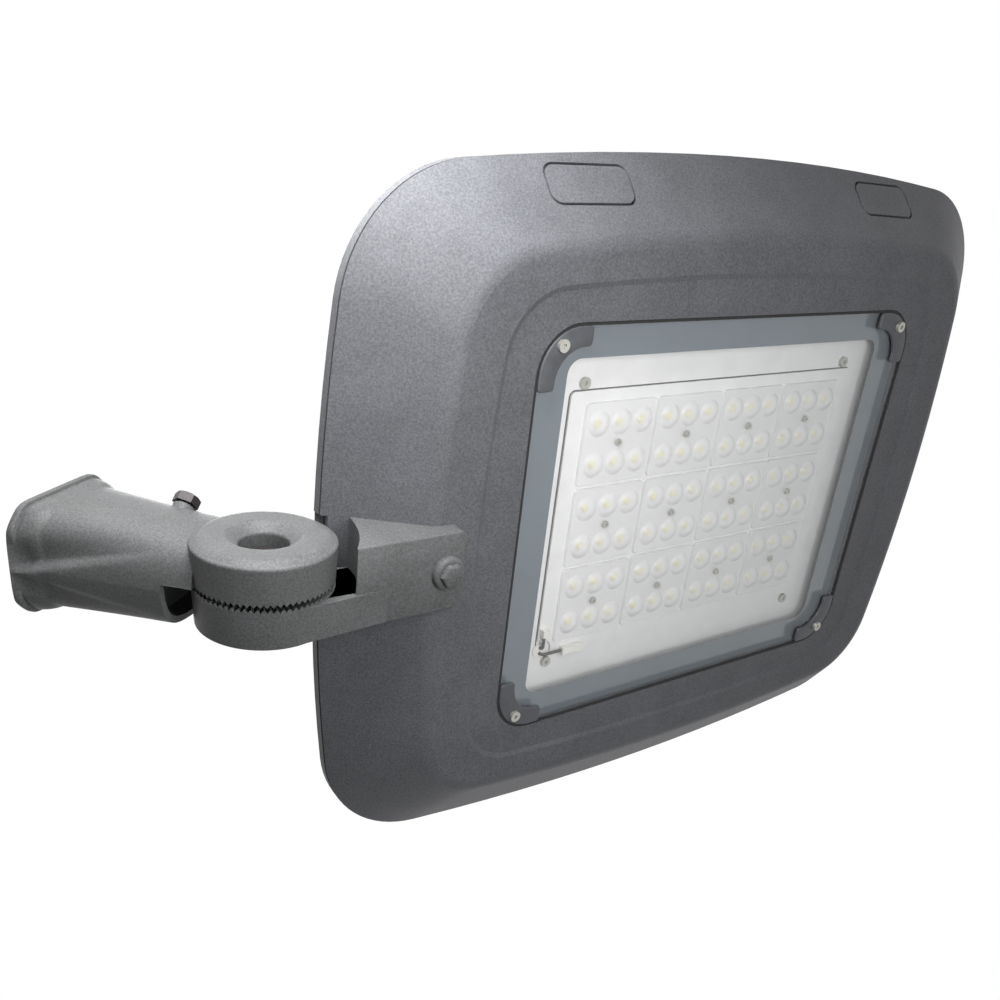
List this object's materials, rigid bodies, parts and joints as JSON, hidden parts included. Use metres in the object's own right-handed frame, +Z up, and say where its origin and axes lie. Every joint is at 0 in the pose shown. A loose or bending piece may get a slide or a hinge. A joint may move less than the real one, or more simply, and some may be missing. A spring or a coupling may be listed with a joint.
{
  "type": "led street light",
  "caption": "Flat LED street light with a bowed rectangular housing, a glass window over lens modules, and a toothed tilting knuckle on a clamped pole socket.",
  "frame": {"origin": "centre of the pole socket's mouth", "axes": "+X from the pole towards the far end of the head, +Y across the head, +Z up, with the glass facing down at rest"},
  "size_m": [0.6867, 0.4228, 0.1595],
  "materials": {
    "housing_coat": "textured grey powder coat",
    "arm_coat": "textured grey powder coat",
    "clip_coat": "smooth dark grey coat",
    "black_rubber": "matte",
    "clear_glass": "clear toughened glass",
    "slate_print": "slate enamel print behind the glass",
    "white_coat": "white reflector coat",
    "clear_lens": "clear moulded lens",
    "yellow_chip": "phosphor",
    "grey_lead": "dark grey silicone sleeve",
    "white_plastic": "moulded",
    "driver_case": "satin",
    "black_plastic": "moulded",
    "dark_steel": "dark zinc",
    "bright_steel": "stainless"
  },
  "bodies": {
    "socket": {"slip_fitter": "arm_coat", "pole_set_screws": "dark_steel", "knuckle_bolt": "dark_steel", "knuckle_washer": "dark_steel"},
    "head": {"blank_plug_1": "housing_coat", "blank_plug_2": "housing_coat", "board_connector": "white_plastic", "bracket_bolt": "bright_steel", "bracket_inner_bolts": "dark_steel", "breather_vent": "black_plastic", "cable_gland": "black_plastic", "clip_screws": "bright_steel", "corner_clip_1": "clip_coat", "corner_clip_2": "clip_coat", "corner_clip_3": "clip_coat", "corner_clip_4": "clip_coat", "driver_screws": "bright_steel", "frame_screws": "bright_steel", "front_frame": "housing_coat", "glass_border": "slate_print", "glass_gasket": "black_rubber", "glass_panel": "clear_glass", "housing_gasket": "black_rubber", "knuckle_nut": "dark_steel", "lead_wire_1": "grey_lead", "lead_wire_2": "grey_lead", "led_board": "white_coat", "led_chips": "yellow_chip", "led_driver": "driver_case", "lens_array_01": "clear_lens", "lens_array_02": "clear_lens", "lens_array_03": "clear_lens", "lens_array_04": "clear_lens", "lens_array_05": "clear_lens", "lens_array_06": "clear_lens", "lens_array_07": "clear_lens", "lens_array_08": "clear_lens", "lens_array_09": "clear_lens", "lens_array_10": "clear_lens", "lens_array_11": "clear_lens", "lens_array_12": "clear_lens", "lens_screws": "bright_steel", "mounting_bracket": "arm_coat", "rear_housing": "housing_coat", "reflector_tray": "white_coat", "terminal_block": "white_plastic", "tray_screws": "bright_steel", "wire_grommet": "black_rubber"}
  },
  "joints": [
    {"name": "tilt", "type": "hinge", "parent": "socket", "child": "head", "pos_m": [0.07971, 0, -0.09499], "axis": [0, 1, 0], "range_deg": [-40, 140]}
  ]
}
